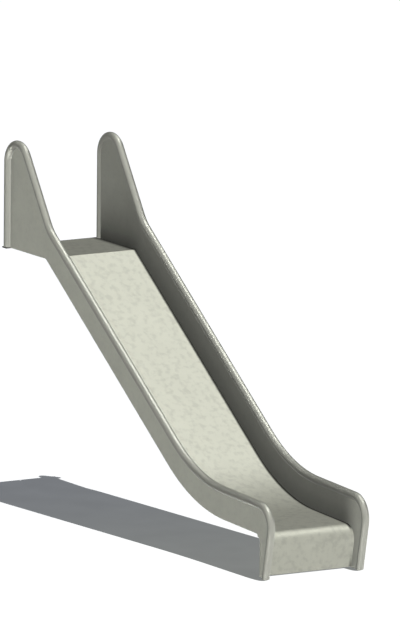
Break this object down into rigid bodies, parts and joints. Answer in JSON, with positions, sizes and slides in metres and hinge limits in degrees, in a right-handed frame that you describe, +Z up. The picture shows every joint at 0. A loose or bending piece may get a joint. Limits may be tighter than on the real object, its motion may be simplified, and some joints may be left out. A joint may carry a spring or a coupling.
{
  "type": "playground slide",
  "caption": "Hang-on playground slide of sheet steel with flat start deck, straight bed, curved run-out and a round rail along both side walls.",
  "frame": {"origin": "middle of the mounting flange's underside, which lies on the platform", "axes": "+X down the slide towards the run-out, +Y towards the right wall as seen from the foot of the slide, +Z up"},
  "size_m": [2.5499, 0.557, 1.7385],
  "materials": {
    "bed_steel": "satin, faintly mottled from use",
    "deck_steel": "satin",
    "wall_steel": "satin, faintly mottled",
    "rail_steel": "smooth satin, brighter where hands polish it",
    "flange_steel": "dull"
  },
  "bodies": {
    "root": {"bed_curve": "bed_steel", "front_apron": "bed_steel", "runout_bed": "bed_steel", "runout_nose": "bed_steel", "sliding_bed": "bed_steel", "start_deck": "deck_steel", "mounting_flange": "flange_steel", "left_rail_post": "rail_steel", "left_rail_ear_bend": "rail_steel", "left_rail_ear_edge": "rail_steel", "left_rail_neck": "rail_steel", "left_rail_slope": "rail_steel", "left_rail_curve": "rail_steel", "left_rail_runout": "rail_steel", "left_rail_front_bend": "rail_steel", "left_rail_leg": "rail_steel", "left_wall_ear": "wall_steel", "left_wall_slope": "wall_steel", "left_wall_runout": "wall_steel", "left_wall_leg": "wall_steel", "right_rail_post": "rail_steel", "right_rail_ear_bend": "rail_steel", "right_rail_ear_edge": "rail_steel", "right_rail_neck": "rail_steel", "right_rail_slope": "rail_steel", "right_rail_curve": "rail_steel", "right_rail_runout": "rail_steel", "right_rail_front_bend": "rail_steel", "right_rail_leg": "rail_steel", "right_wall_ear": "wall_steel", "right_wall_slope": "wall_steel", "right_wall_runout": "wall_steel", "right_wall_leg": "wall_steel"}
  },
  "joints": []
}
